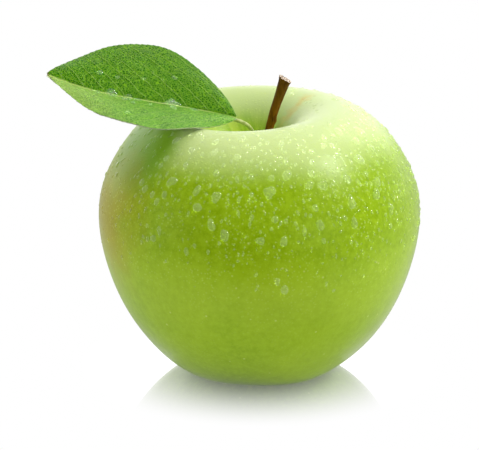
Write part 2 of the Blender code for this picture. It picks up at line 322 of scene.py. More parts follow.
# An orange-olive blush on the side that the sun reached.
blush_from = add(tree, "ShaderNodeVectorMath", {0: in_mm, 1: (-38.0, -12.0, 43.0)},
                 operation="DISTANCE").outputs["Value"]
blush_ragged = add(tree, "ShaderNodeTexNoise", {"Vector": in_mm, "Scale": 0.12,
                                                "Detail": 4.0}).outputs["Fac"]
blush_edge = add(tree, "ShaderNodeMath", {0: blush_ragged, 1: 14.0, 2: blush_from},
                 operation="MULTIPLY_ADD").outputs[0]
blush_share = add(tree, "ShaderNodeMapRange", {0: blush_edge, 1: 9.0, 2: 30.0, 3: 0.62, 4: 0.0},
                  interpolation_type="SMOOTHSTEP").outputs[0]
blushed = add(tree, "ShaderNodeMix", {0: blush_share, 6: hollowed, 7: hex_colour("#a48600")},
              data_type="RGBA").outputs[2]

# Pores: pale specks 0.4 to 0.7 mm across, one every 3.5 mm or so.
pores = add(tree, "ShaderNodeTexVoronoi", {"Vector": in_mm, "Scale": 0.28, "Randomness": 1.0})
pore_share = add(tree, "ShaderNodeMapRange", {0: pores.outputs["Distance"], 1: 0.05, 2: 0.10,
                                              3: 0.45, 4: 0.0}).outputs[0]
dotted = add(tree, "ShaderNodeMix", {0: pore_share, 6: blushed, 7: hex_colour("#cfdc7c")},
             data_type="RGBA").outputs[2]

# Russet: thin rough tan skin, one broken ray down the far right wall of the cavity.
ray_from = add(tree, "ShaderNodeVectorRotate", {"Vector": in_mm, "Angle": RUSSET_TURN},
               rotation_type="Z_AXIS", invert=True).outputs[0]
ray_parts = add(tree, "ShaderNodeSeparateXYZ", {0: ray_from})
ray_ragged = add(tree, "ShaderNodeTexNoise", {"Vector": in_mm, "Scale": 0.5, "Detail": 5.0}).outputs["Fac"]
ray_off = add(tree, "ShaderNodeMath", {0: ray_parts.outputs["Y"]}, operation="ABSOLUTE").outputs[0]
ray_edge = add(tree, "ShaderNodeMath", {0: ray_ragged, 1: 5.0, 2: ray_off},
               operation="MULTIPLY_ADD").outputs[0]
ray_across = add(tree, "ShaderNodeMapRange", {0: ray_edge, 1: 2.0, 2: 4.6, 3: 0.6, 4: 0.0}).outputs[0]
ray_along = add(tree, "ShaderNodeMapRange", {0: ray_parts.outputs["X"], 1: 5.0, 2: 9.0}).outputs[0]
ray_end = add(tree, "ShaderNodeMapRange", {0: ray_parts.outputs["X"], 1: 19.0, 2: 15.0}).outputs[0]
on_top = add(tree, "ShaderNodeMapRange", {0: height, 1: 50.0, 2: 54.0}).outputs[0]
ray_share = add(tree, "ShaderNodeMath", {0: ray_along, 1: ray_end}, operation="MULTIPLY").outputs[0]
ray_share = add(tree, "ShaderNodeMath", {0: ray_share, 1: ray_across}, operation="MULTIPLY").outputs[0]
russet_share = add(tree, "ShaderNodeMath", {0: ray_share, 1: on_top}, operation="MULTIPLY").outputs[0]
russeted = add(tree, "ShaderNodeMix", {0: russet_share, 6: dotted, 7: hex_colour("#dcbc58")},
               data_type="RGBA").outputs[2]

# Mist: wet specks on the upper half, too fine to model one by one, their pale colour a painted glint.  Real
# ones are about
# 0.2 mm across; they are drawn at about 0.4 mm, so that they show.
mist = add(tree, "ShaderNodeTexVoronoi", {"Vector": in_mm, "Scale": 1.15, "Randomness": 1.0})
mist_dot = add(tree, "ShaderNodeMapRange", {0: mist.outputs["Distance"], 1: 0.16, 2: 0.34,
                                            3: 1.0, 4: 0.0}).outputs[0]
mist_cloud = add(tree, "ShaderNodeTexNoise", {"Vector": in_mm, "Scale": 0.09, "Detail": 3.0}).outputs["Fac"]
mist_patch = add(tree, "ShaderNodeMapRange", {0: mist_cloud, 1: 0.35, 2: 0.62, 3: 0.25, 4: 1.0}).outputs[0]
mist_high = add(tree, "ShaderNodeMapRange", {0: height, 1: 20.0, 2: 56.0, 3: 0.08, 4: 0.40}).outputs[0]
mist_share = add(tree, "ShaderNodeMath", {0: mist_patch, 1: mist_high}, operation="MULTIPLY").outputs[0]
mist_share = add(tree, "ShaderNodeMath", {0: mist_share, 1: mist_dot}, operation="MULTIPLY").outputs[0]
# Fewer specks and painted glints in the painted leaf shadow, where the leaf also kept the rain off.
outside_leaf_shadow = add(tree, "ShaderNodeMath", {0: 1.0, 1: painted_leaf_shadow}, operation="SUBTRACT").outputs[0]
mist_share = add(tree, "ShaderNodeMath", {0: mist_share, 1: outside_leaf_shadow}, operation="MULTIPLY").outputs[0]
misted = add(tree, "ShaderNodeMix", {0: mist_share, 6: russeted, 7: hex_colour("#cde37c")},
             data_type="RGBA").outputs[2]
tree.links.new(misted, shader.inputs["Base Color"])

rough = add(tree, "ShaderNodeTexNoise", {"Vector": in_mm, "Scale": 0.9, "Detail": 3.0}).outputs["Fac"]
wax = add(tree, "ShaderNodeMapRange", {0: rough, 3: 0.26, 4: 0.38}).outputs[0]
roughness = add(tree, "ShaderNodeMix", {0: russet_share, 2: wax, 3: 0.75}, data_type="FLOAT").outputs[0]
tree.links.new(roughness, shader.inputs["Roughness"])

# The skin's own fine grain, about 0.7 mm, with each speck of mist a low dome on it.
grain = add(tree, "ShaderNodeTexNoise", {"Vector": in_mm, "Scale": 1.4, "Detail": 4.0,
                                         "Roughness": 0.65}).outputs["Fac"]
grain_bump = add(tree, "ShaderNodeBump", {"Strength": 0.3, "Distance": 0.0001, "Height": grain})
mist_bump = add(tree, "ShaderNodeBump", {"Strength": 0.5, "Distance": 0.00012, "Height": mist_share,
                                         "Normal": grain_bump.outputs[0]})
tree.links.new(mist_bump.outputs[0], shader.inputs["Normal"])
shader.inputs["IOR"].default_value = 1.45
shader.inputs["Specular IOR Level"].default_value = 0.25
shader.inputs["Sheen Weight"].default_value = 0.27
shader.inputs["Sheen Roughness"].default_value = 0.35
shader.inputs["Subsurface Weight"].default_value = 0.12
shader.inputs["Subsurface Radius"].default_value = (1.0, 1.0, 0.2)
shader.inputs["Subsurface Scale"].default_value = 0.003
fruit_mesh.materials.append(apple_skin)

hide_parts("fruit")
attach(fruit_skin, "root")


# ---------------------------------------------------------------------------
# Stem.  A short woody stalk with thin brown bark, slimmest at its middle and flared
# where it tore off the twig.  The torn end shows pale wood with dark fibres in it.

STEM_POINTS = (             # x, y, z from the foot of the axis, and the radius, in mm
    (0.3, 0.0, 54.0, 1.15),
    (1.2, 0.0, 57.0, 1.05),
    (2.4, 0.0, 61.5, 1.0),
    (3.6, 0.0, 66.0, 1.05),
    (5.0, 0.0, 70.2, 1.2),
    (6.3, 0.0, 74.2, 1.5),
)
STEM_SIDES = 56
STEM_RINGS = 110
STEM_TEAR = 0.45            # how ragged the torn end is, in mm
KNOT_SHARE = 0.5            # the small knot's place along the stem


def along(points, share):
    """A point of four numbers on the smooth line through the given points."""
    at = share * (len(points) - 1)
    index = min(int(at), len(points) - 2)
    t = at - index
    p = [Vector(points[min(max(index + step, 0), len(points) - 1)]) for step in (-1, 0, 1, 2)]
    return 0.5 * (2.0 * p[1] + (p[2] - p[0]) * t + (2.0 * p[0] - 5.0 * p[1] + 4.0 * p[2] - p[3]) * t * t
                  + (3.0 * p[1] - p[0] - 3.0 * p[2] + p[3]) * t * t * t)


def rod_mesh(name, points, sides, rings, swell, cap_rings=4):
    """A closed rod along points (x, y, z, radius).  swell(share, turn) gives what to add to
    the radius and how far to push the ring's corner along the rod, in millimetres."""
    bm = bmesh.new()
    rows = []
    for ring in range(rings + 1):
        share = ring / rings
        centre = along(points, share)
        ahead = along(points, min(1.0, share + 0.01)) - along(points, max(0.0, share - 0.01))
        forward = ahead.to_3d().normalized()
        side = forward.cross(Vector((0.0, 1.0, 0.0))).normalized()
        other = side.cross(forward)
        row = []
        for number in range(sides):
            turn = 2.0 * math.pi * number / sides
            more, push = swell(share, turn)
            arm = side * math.cos(turn) + other * math.sin(turn)
            row.append(bm.verts.new((centre.to_3d() + arm * (centre.w + more) + forward * push) * MM))
        rows.append(row)
    for low, high in zip(rows, rows[1:]):
        for number in range(sides):
            after = (number + 1) % sides
            bm.faces.new((low[number], low[after], high[after], high[number]))
    for row, last in ((rows[0], False), (rows[-1], True)):
        middle = sum((corner.co for corner in row), Vector()) / sides
        for inner in range(1, cap_rings + 1):
            keep = 1.0 - inner / (cap_rings + 1)
            new_row = []
            for corner in row:
                spot = middle + (corner.co - middle) * (keep / (1.0 - (inner - 1) / (cap_rings + 1)))
                if last:
                    spot.z += STEM_TEAR * 0.45 * MM * noise.noise(spot / MM * 2.3 + Vector((7.0, 3.0, 1.0)))
                new_row.append(bm.verts.new(spot))
            for number in range(sides):
                after = (number + 1) % sides
                loop = (row[number], row[after], new_row[after], new_row[number])
                face = bm.faces.new(loop if last else loop[::-1])
                face.material_index = 1 if last else 0
            row = new_row
        tip = bm.verts.new(middle)
        for number in range(sides):
            after = (number + 1) % sides
            loop = (row[number], row[after], tip)
            face = bm.faces.new(loop if last else loop[::-1])
            face.material_index = 1 if last else 0
    mesh = bpy.data.meshes.new(name)
    bm.to_mesh(mesh)
    bm.free()
    mesh.shade_smooth()
    return mesh


def stem_swell(share, turn):
    """Bark ridges that run up the stem, a knot at its middle, and the ragged torn end."""
    ring = Vector((math.cos(turn), math.sin(turn), 0.0))
    ridges = 0.09 * noise.noise(ring * 3.2 + Vector((0.0, 0.0, share * 2.5)))
    wrinkles = 0.05 * noise.noise(ring * 7.0 + Vector((4.0, 0.0, share * 22.0)))
    facing_left = max(0.0, -math.cos(turn))
    knot = 0.28 * facing_left ** 2 * math.exp(-((share - KNOT_SHARE) / 0.03) ** 2)
    lip = 0.12 * smooth_step(0.94, 1.0, share)
    torn = smooth_step(0.9, 1.0, share)
    push = torn * (STEM_TEAR * noise.noise(ring * 1.9 + Vector((9.0, 2.0, 0.0))) + 0.35 * math.cos(turn))
    return ridges + wrinkles + knot + lip, push


stem_mesh = rod_mesh("stem_bark", STEM_POINTS, STEM_SIDES, STEM_RINGS, stem_swell)
stem_bark = new_object("stem_bark", stem_mesh)
stem_bark.location = AXIS_FOOT

# Dry stem bark.  Matt and fibrous, dark olive brown at the top and warmer, redder brown
# toward the fruit, with fine lines that run up it.
bark, tree, shader = new_material("dry_stem_bark")
place = add(tree, "ShaderNodeTexCoord").outputs["Object"]
fibres_at = add(tree, "ShaderNodeVectorMath", {0: place, 1: (1600.0, 1600.0, 160.0)},
                operation="MULTIPLY").outputs[0]
fibres = add(tree, "ShaderNodeTexNoise", {"Vector": fibres_at, "Scale": 1.0, "Detail": 5.0,
                                          "Roughness": 0.65}).outputs["Fac"]
height = add(tree, "ShaderNodeSeparateXYZ", {0: place}).outputs["Z"]
up = add(tree, "ShaderNodeMapRange", {0: height, 1: 0.060, 2: 0.070}).outputs[0]
ground_brown = add(tree, "ShaderNodeMix", {0: up, 6: hex_colour("#9a6200"), 7: hex_colour("#5c3e06")},
                   data_type="RGBA").outputs[2]
line_share = add(tree, "ShaderNodeMapRange", {0: fibres, 1: 0.34, 2: 0.52}).outputs[0]
brown = add(tree, "ShaderNodeMix", {0: line_share, 6: hex_colour("#402400"), 7: ground_brown},
            data_type="RGBA").outputs[2]
tree.links.new(brown, shader.inputs["Base Color"])
bark_bump = add(tree, "ShaderNodeBump", {"Strength": 0.6, "Distance": 0.0002, "Height": fibres})
tree.links.new(bark_bump.outputs[0], shader.inputs["Normal"])
shader.inputs["Roughness"].default_value = 0.72
shader.inputs["Specular IOR Level"].default_value = 0.2
stem_mesh.materials.append(bark)

# Torn wood.  Pale cream, slightly pink, with dark pores and stringy fibres standing up.
torn_wood, tree, shader = new_material("torn_stem_wood")
place = add(tree, "ShaderNodeTexCoord").outputs["Object"]
specks = add(tree, "ShaderNodeTexNoise", {"Vector": place, "Scale": 2200.0, "Detail": 4.0}).outputs["Fac"]
speck_share = add(tree, "ShaderNodeMapRange", {0: specks, 1: 0.42, 2: 0.58}).outputs[0]
wood_colour = add(tree, "ShaderNodeMix", {0: speck_share, 6: hex_colour("#7c6148"),
                                          7: hex_colour("#e3d3bf")}, data_type="RGBA").outputs[2]
tree.links.new(wood_colour, shader.inputs["Base Color"])
wood_bump = add(tree, "ShaderNodeBump", {"Strength": 0.7, "Distance": 0.0002, "Height": specks})
tree.links.new(wood_bump.outputs[0], shader.inputs["Normal"])
shader.inputs["Roughness"].default_value = 0.85
stem_mesh.materials.append(torn_wood)

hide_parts("stem")
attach(stem_bark, "root")


# ---------------------------------------------------------------------------
# Leaf.  One leaf of the twig: a thin blade folded along its midrib, with a waxy upper
# side, a paler felted underside, net veins and a finely toothed edge.

MIDRIB_BASE = (-5.5, -6.0, 66.0)
MIDRIB_TIP = (-52.0, -2.0, 76.0)
MIDRIB_SAG = 1.4            # how far the outer half of the midrib hangs below a straight line
LEAF_HALF_WIDTH = 18.0
LEAF_THICKNESS = 0.3
LEAF_WIDEST = 0.46          # share of the blade's length, from its base
LEAF_FULLNESS = 0.85        # below 1, the blade's outline is fuller than a sine
NEAR_TIP_FULLNESS = 1.2     # the near half is slimmer toward the tip
FAR_HALF_RISE = 35.0
NEAR_HALF_DROP = 4.0
TIP_CURL = 40.0             # further drop of the near half at the very tip
TIP_CURL_POWER = 6
LEAF_LENGTH = 50.0
TOOTH_SPACING = 1.5
TOOTH_DEPTH = 0.18
VEIN_SPACING = 5.4
VEIN_LEAN = 1.0             # how far a side vein runs along for each unit outward
VEIN_BEND = 0.018
VEIN_DEPTH = 0.07
BULGE_HEIGHT = 0.09         # how far the blade swells between its side veins
EDGE_WAVE = 0.2


def leaf_half_width(share, far_side):
    """Half the blade's width at a share of its length, teeth left out."""
    bulge = math.sin(math.pi * share ** (math.log(0.5) / math.log(LEAF_WIDEST)))
    slim = not far_side and share > LEAF_WIDEST
    return LEAF_HALF_WIDTH * max(bulge, 0.0) ** (NEAR_TIP_FULLNESS if slim else LEAF_FULLNESS)


def midrib_point(share):
    middle = Vector(MIDRIB_BASE).lerp(Vector(MIDRIB_TIP), share)
    middle.z -= MIDRIB_SAG * math.sin(math.pi * share ** 2)
    return middle


def vein_phase(length_along, distance_out, far_side):
    """Whole numbers lie on a side vein; the two halves' veins leave the midrib in turn."""
    start = length_along - VEIN_LEAN * distance_out - VEIN_BEND * distance_out ** 2
    return start / VEIN_SPACING + (0.5 if far_side else 0.0)


def leaf_surface(share, across):
    """A place on the blade and its way across the leaf, with the relief of the veins."""
    far_side = across > 0.0
    out = abs(across)
    if far_side:
        angle = math.radians(FAR_HALF_RISE)
        side = Vector((0.0, math.cos(angle), math.sin(angle)))
        up = Vector((0.0, -math.sin(angle), math.cos(angle)))
    else:
        angle = math.radians(NEAR_HALF_DROP + TIP_CURL * share ** TIP_CURL_POWER)
        side = Vector((0.0, -math.cos(angle), -math.sin(angle)))
        up = Vector((0.0, -math.sin(angle), math.cos(angle)))
    length_along = share * LEAF_LENGTH
    width = leaf_half_width(share, far_side)
    tooth = (length_along / TOOTH_SPACING) % 1.0
    width += TOOTH_DEPTH * (tooth - 0.4) * smooth_step(0.0, 3.0, width)
    distance = out * width
    phase = vein_phase(length_along, distance, far_side)
    from_vein = abs(phase - round(phase)) * 2.0
    inside = smooth_step(0.0, 0.12, out) * (1.0 - smooth_step(0.8, 1.0, out))
    relief = BULGE_HEIGHT * (from_vein ** 0.7 - 0.5) * inside
    relief -= VEIN_DEPTH * math.exp(-(from_vein / 0.10) ** 2) * inside
    relief -= 0.3 * math.exp(-(distance / 0.45) ** 2)
    wave = EDGE_WAVE * out ** 3 * math.sin(length_along / 2.6 + (1.0 if far_side else 3.0))
    wave *= smooth_step(0.0, 5.0, width)
    camber = 0.9 * math.sin(math.pi * out) * smooth_step(0.0, 8.0, width)
    small = 0.10 * noise.noise(Vector((length_along, across * 12.0, 3.0)) / 2.2)
    place = midrib_point(share) + side * distance + up * (relief + wave + camber + small)
    return place, distance if far_side else -distance


LEAF_LONG_STEPS = 260
LEAF_ACROSS_STEPS = 110
bm = bmesh.new()
leaf_place = bm.verts.layers.float_vector.new("leaf_place")
grid = []
for row in range(LEAF_LONG_STEPS + 1):
    share = 0.004 + 0.992 * row / LEAF_LONG_STEPS
    line = []
    for column in range(LEAF_ACROSS_STEPS + 1):
        across = 2.0 * column / LEAF_ACROSS_STEPS - 1.0
        place, out = leaf_surface(share, across)
        corner = bm.verts.new(place * MM)
        corner[leaf_place] = (share * LEAF_LENGTH, out, share)
        line.append(corner)
    grid.append(line)
for low, high in zip(grid, grid[1:]):
    for column in range(LEAF_ACROSS_STEPS):
        bm.faces.new((low[column], low[column + 1], high[column + 1], high[column]))
bmesh.ops.recalc_face_normals(bm, faces=bm.faces)
if sum((face.normal.z for face in bm.faces), 0.0) < 0.0:
    bmesh.ops.reverse_faces(bm, faces=bm.faces)
leaf_mesh = bpy.data.meshes.new("leaf_blade")
bm.to_mesh(leaf_mesh)
bm.free()
leaf_mesh.shade_smooth()
leaf_blade = new_object("leaf_blade", leaf_mesh)
leaf_blade.location = AXIS_FOOT
sheet = leaf_blade.modifiers.new("sheet", "SOLIDIFY")
sheet.thickness = LEAF_THICKNESS * MM
sheet.offset = -1.0
sheet.material_offset = 1
sheet.material_offset_rim = 1


def leaf_colours(tree, blade_dark, blade_light, vein, net, far_shade_tint, vein_strength):
    """Blade colour with its midrib, side veins and fine net, laid out on the leaf itself; far_shade_tint
    paints shade on the far half, and the near half is painted paler toward the tip, as sheen.
    """
    where = add(tree, "ShaderNodeAttribute", attribute_name="leaf_place").outputs["Vector"]
    parts = add(tree, "ShaderNodeSeparateXYZ", {0: where})
    out = add(tree, "ShaderNodeMath", {0: parts.outputs["Y"]}, operation="ABSOLUTE").outputs[0]
    wander = add(tree, "ShaderNodeTexNoise", {"Vector": where, "Scale": 0.35, "Detail": 2.0}).outputs["Fac"]
    far = add(tree, "ShaderNodeMath", {0: parts.outputs["Y"], 1: 0.0}, operation="GREATER_THAN").outputs[0]
    # The same line as the relief in the blade: along - lean * out - bend * out * out.
    bend = add(tree, "ShaderNodeMath", {0: out, 1: VEIN_BEND, 2: VEIN_LEAN},
               operation="MULTIPLY_ADD").outputs[0]
    reach = add(tree, "ShaderNodeMath", {0: out, 1: bend}, operation="MULTIPLY").outputs[0]
    start = add(tree, "ShaderNodeMath", {0: parts.outputs["X"], 1: reach}, operation="SUBTRACT").outputs[0]
    start = add(tree, "ShaderNodeMath", {0: wander, 1: 1.8, 2: start}, operation="MULTIPLY_ADD").outputs[0]
    count = add(tree, "ShaderNodeMath", {0: start, 1: VEIN_SPACING}, operation="DIVIDE").outputs[0]
    count = add(tree, "ShaderNodeMath", {0: far, 1: 0.5, 2: count}, operation="MULTIPLY_ADD").outputs[0]
    off = add(tree, "ShaderNodeMath", {0: count, 1: 0.5}, operation="ADD").outputs[0]
    off = add(tree, "ShaderNodeMath", {0: off}, operation="FRACT").outputs[0]
    off = add(tree, "ShaderNodeMath", {0: off, 1: 0.5}, operation="SUBTRACT").outputs[0]
    off = add(tree, "ShaderNodeMath", {0: off}, operation="ABSOLUTE").outputs[0]
    side_vein = add(tree, "ShaderNodeMapRange", {0: off, 1: 0.010, 2: 0.032, 3: 0.4, 4: 0.0}).outputs[0]
    midrib = add(tree, "ShaderNodeMapRange", {0: out, 1: 0.18, 2: 0.38, 3: 1.0, 4: 0.0}).outputs[0]
    main = add(tree, "ShaderNodeMath", {0: side_vein, 1: midrib}, operation="MAXIMUM").outputs[0]
    coarse = add(tree, "ShaderNodeTexVoronoi", {"Vector": where, "Scale": 0.75}, feature="DISTANCE_TO_EDGE")
    fine = add(tree, "ShaderNodeTexVoronoi", {"Vector": where, "Scale": 1.7}, feature="DISTANCE_TO_EDGE")
    coarse_net = add(tree, "ShaderNodeMapRange", {0: coarse.outputs["Distance"], 1: 0.02, 2: 0.07,
                                                  3: 0.6, 4: 0.0}).outputs[0]
    fine_net = add(tree, "ShaderNodeMapRange", {0: fine.outputs["Distance"], 1: 0.02, 2: 0.16,
                                                3: 0.9, 4: 0.0}).outputs[0]
    net_share = add(tree, "ShaderNodeMath", {0: coarse_net, 1: fine_net}, operation="MAXIMUM").outputs[0]
    mottle = add(tree, "ShaderNodeTexNoise", {"Vector": where, "Scale": 0.25, "Detail": 4.0}).outputs["Fac"]
    mottle_share = add(tree, "ShaderNodeMapRange", {0: mottle, 1: 0.35, 2: 0.65}).outputs[0]
    blade = add(tree, "ShaderNodeMix", {0: mottle_share, 6: hex_colour(blade_dark),
                                        7: hex_colour(blade_light)}, data_type="RGBA").outputs[2]
    netted = add(tree, "ShaderNodeMix", {0: net_share, 6: blade, 7: hex_colour(net)},
                 data_type="RGBA").outputs[2]
    # Painted shade and sheen: the far half is painted a deeper green, as shade, and the near half paler
    # toward the tip, as a painted sheen.
    far_half_shade = add(tree, "ShaderNodeMath", {0: far, 1: 0.8}, operation="MULTIPLY").outputs[0]
    netted = add(tree, "ShaderNodeMix", {0: far_half_shade, 6: netted, 7: hex_colour(far_shade_tint)},
                 data_type="RGBA", blend_type="MULTIPLY").outputs[2]
    to_tip = add(tree, "ShaderNodeMapRange", {0: parts.outputs["Z"], 1: 0.55, 2: 0.95,
                                              3: 0.0, 4: 0.5}).outputs[0]
    near = add(tree, "ShaderNodeMath", {0: 1.0, 1: far}, operation="SUBTRACT").outputs[0]
    near_half_sheen = add(tree, "ShaderNodeMath", {0: to_tip, 1: near}, operation="MULTIPLY").outputs[0]
    netted = add(tree, "ShaderNodeMix", {0: near_half_sheen, 6: netted, 7: hex_colour(vein)},
                 data_type="RGBA").outputs[2]
    main_share = add(tree, "ShaderNodeMath", {0: main, 1: vein_strength}, operation="MULTIPLY").outputs[0]
    veined = add(tree, "ShaderNodeMix", {0: main_share, 6: netted, 7: hex_colour(vein)},
                 data_type="RGBA").outputs[2]
    lines = add(tree, "ShaderNodeMath", {0: main, 1: net_share}, operation="MAXIMUM").outputs[0]
    return veined, lines, parts.outputs["Z"]


# Waxy leaf, upper side.  A saturated green that turns pale and satiny where it is seen at
# a low angle, because of the smooth wax on it; the near half's paleness toward the tip is also painted
# sheen, and the far half's deeper green is painted shade.  Light also comes through the blade.
leaf_upper, tree, shader = new_material("waxy_leaf_upper")
veined, lines, share = leaf_colours(tree, "#307400", "#428a0a", "#c6e07c", "#9cd048", "#bccc18", 0.8)
tip_share = add(tree, "ShaderNodeMapRange", {0: share, 1: 0.985, 2: 0.997}).outputs[0]
tipped = add(tree, "ShaderNodeMix", {0: tip_share, 6: veined, 7: hex_colour("#7a5a2a")},
             data_type="RGBA").outputs[2]
tree.links.new(tipped, shader.inputs["Base Color"])
vein_bump = add(tree, "ShaderNodeBump", {"Strength": 0.6, "Distance": 0.00018, "Height": lines},
                invert=True)
tree.links.new(vein_bump.outputs[0], shader.inputs["Normal"])
shader.inputs["Roughness"].default_value = 0.34
shader.inputs["IOR"].default_value = 1.45
shader.inputs["Specular IOR Level"].default_value = 0.2
shader.inputs["Subsurface Weight"].default_value = 0.1
shader.inputs["Subsurface Radius"].default_value = (0.5, 1.0, 0.2)
shader.inputs["Subsurface Scale"].default_value = 0.001
leaf_mesh.materials.append(leaf_upper)

# Felted leaf, underside.  Paler, greyer and matt, with its veins standing out.
leaf_under, tree, shader = new_material("felted_leaf_underside")
veined, lines, share = leaf_colours(tree, "#8fa96a", "#a2b97c", "#c9d6a2", "#b3c68c", "#ffffff", 0.9)
tree.links.new(veined, shader.inputs["Base Color"])
vein_bump = add(tree, "ShaderNodeBump", {"Strength": 0.8, "Distance": 0.00025, "Height": lines})
tree.links.new(vein_bump.outputs[0], shader.inputs["Normal"])
shader.inputs["Roughness"].default_value = 0.75
shader.inputs["Sheen Weight"].default_value = 0.3
shader.inputs["Sheen Roughness"].default_value = 0.6
leaf_mesh.materials.append(leaf_under)

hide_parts("leaf")
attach(leaf_blade, "root")


# ---------------------------------------------------------------------------
# Leaf stalk.  The leaf's own thin stalk, grooved and downy, comes up out of the stem
# cavity and runs on as the raised midrib under the blade, ever thinner to the tip.

STALK_POINTS = [
    (-0.5, -2.6, 54.6, 0.55),
    (-0.9, -3.4, 58.5, 0.45),
    (-2.0, -4.5, 62.6, 0.45),
    (-4.9, -5.9, 65.1, 0.48),
]
for step in range(1, 9):
    share = 0.02 + 0.96 * step / 8
    x, y, z = midrib_point(share)
    radius = 0.45 * (1.0 - 0.8 * share)
    STALK_POINTS.append((x, y, z - 0.33 - radius * 0.45, radius))


def stalk_swell(share, turn):
    ring = Vector((math.cos(turn), math.sin(turn), 0.0))
    return 0.035 * noise.noise(ring * 2.5 + Vector((0.0, 0.0, share * 30.0))), 0.0


stalk_mesh = rod_mesh("leaf_stalk", STALK_POINTS, 20, 150, stalk_swell)
leaf_stalk = new_object("leaf_stalk", stalk_mesh)
leaf_stalk.location = AXIS_FOOT

# Downy green stalk.  Pale yellow-green, a little redder toward its foot, soft and matt.
stalk_skin, tree, shader = new_material("downy_leaf_stalk")
place = add(tree, "ShaderNodeTexCoord").outputs["Object"]
down = add(tree, "ShaderNodeTexNoise", {"Vector": place, "Scale": 1500.0, "Detail": 3.0}).outputs["Fac"]
down_share = add(tree, "ShaderNodeMapRange", {0: down, 1: 0.35, 2: 0.65}).outputs[0]
stalk_green = add(tree, "ShaderNodeMix", {0: down_share, 6: hex_colour("#9cab52"),
                                          7: hex_colour("#cdd490")}, data_type="RGBA").outputs[2]
height = add(tree, "ShaderNodeSeparateXYZ", {0: place}).outputs["Z"]
foot_share = add(tree, "ShaderNodeMapRange", {0: height, 1: 0.054, 2: 0.060, 3: 0.6, 4: 0.0}).outputs[0]
footed = add(tree, "ShaderNodeMix", {0: foot_share, 6: stalk_green, 7: hex_colour("#a2703c")},
             data_type="RGBA").outputs[2]
tree.links.new(footed, shader.inputs["Base Color"])
down_bump = add(tree, "ShaderNodeBump", {"Strength": 0.5, "Distance": 0.0001, "Height": down})
tree.links.new(down_bump.outputs[0], shader.inputs["Normal"])
shader.inputs["Roughness"].default_value = 0.6
shader.inputs["Sheen Weight"].default_value = 0.2
stalk_mesh.materials.append(stalk_skin)
stalk_mesh.materials.append(stalk_skin)

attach(leaf_stalk, "root")


# ---------------------------------------------------------------------------
# Sepals and stamens.  What is left of the flower in the calyx basin: five dried sepals
# with curled tips round a tuft of dried stamens.

SEPAL_LENGTH = 4.4
SEPAL_HALF_WIDTH = 1.0
SEPAL_TOP = 6.9
SEPAL_RING_RADIUS = 1.9
SEPAL_THICKNESS = 0.22

# Dried sepal.  Grey brown, matt, with a darker edge and fine lengthwise wrinkles.
dried_sepal, tree, shader = new_material("dried_sepal")
place = add(tree, "ShaderNodeTexCoord").outputs["Object"]
wrinkles = add(tree, "ShaderNodeTexNoise", {"Vector": place, "Scale": 1400.0, "Detail": 4.0}).outputs["Fac"]
wrinkle_share = add(tree, "ShaderNodeMapRange", {0: wrinkles, 1: 0.35, 2: 0.65}).outputs[0]
sepal_colour = add(tree, "ShaderNodeMix", {0: wrinkle_share, 6: hex_colour("#4b3a20"),
                                           7: hex_colour("#8d7a4e")}, data_type="RGBA").outputs[2]
tree.links.new(sepal_colour, shader.inputs["Base Color"])
sepal_bump = add(tree, "ShaderNodeBump", {"Strength": 0.8, "Distance": 0.0002, "Height": wrinkles})
tree.links.new(sepal_bump.outputs[0], shader.inputs["Normal"])
shader.inputs["Roughness"].default_value = 0.85
shader.inputs["Sheen Weight"].default_value = 0.3

for number in range(LOBES):
    chance = random.Random(40 + number)
    length = SEPAL_LENGTH * chance.uniform(0.9, 1.05)
    curl = chance.uniform(1.2, 2.1)
    lean = chance.uniform(-0.5, 0.5)
    bm = bmesh.new()
    bmesh.ops.create_grid(bm, x_segments=26, y_segments=12, size=1.0)
    for corner in bm.verts:
        share = (corner.co.x + 1.0) / 2.0
        across = corner.co.y
        width = SEPAL_HALF_WIDTH * (1.0 - share ** 1.6) ** 0.7 + 0.05
        outward = SEPAL_RING_RADIUS + curl * share ** 3 + 0.3 * across ** 2 * (1.0 - share)
        crinkle = 0.12 * noise.noise(Vector((share * 5.0, across * 2.5, number * 3.1)))
        corner.co = Vector((outward + crinkle, width * across + lean * share ** 2,
                            SEPAL_TOP - length * (share - 0.12 * share ** 4))) * MM
    sepal_mesh = bpy.data.meshes.new("dried_sepal_%d" % (number + 1))
    bm.to_mesh(sepal_mesh)
    bm.free()
    sepal_mesh.shade_smooth()
    sepal_mesh.materials.append(dried_sepal)
    sepal = new_object(sepal_mesh.name, sepal_mesh)
    sepal.location = AXIS_FOOT
    sepal.rotation_euler.z = LOBE_TURN + 2.0 * math.pi / LOBES * number
    sheet = sepal.modifiers.new("sheet", "SOLIDIFY")
    sheet.thickness = SEPAL_THICKNESS * MM
    sheet.offset = 0.0
    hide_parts("sepal_%d" % (number + 1))
    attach(sepal, "root")

# Stamens: thin dry threads, each with what is left of its anther at the tip.
STAMEN_COUNT = 13
STAMEN_TOP = 6.9
STAMEN_LENGTH = 3.3
STAMEN_RADIUS = 0.10

dried_stamen, tree, shader = new_material("dried_stamen")
place = add(tree, "ShaderNodeTexCoord").outputs["Object"]
dry = add(tree, "ShaderNodeTexNoise", {"Vector": place, "Scale": 1800.0, "Detail": 3.0}).outputs["Fac"]
stamen_colour = add(tree, "ShaderNodeMix", {0: dry, 6: hex_colour("#2b1c10"), 7: hex_colour("#6b4c2c")},
                    data_type="RGBA").outputs[2]
tree.links.new(stamen_colour, shader.inputs["Base Color"])
dry_bump = add(tree, "ShaderNodeBump", {"Strength": 0.6, "Distance": 0.0001, "Height": dry})
tree.links.new(dry_bump.outputs[0], shader.inputs["Normal"])
shader.inputs["Roughness"].default_value = 0.85


def stamen_swell(share, turn):
    """The anther: a small swelling near the tip."""
    return 0.16 * smooth_step(0.82, 0.95, share) - 0.10 * smooth_step(0.96, 1.0, share), 0.0


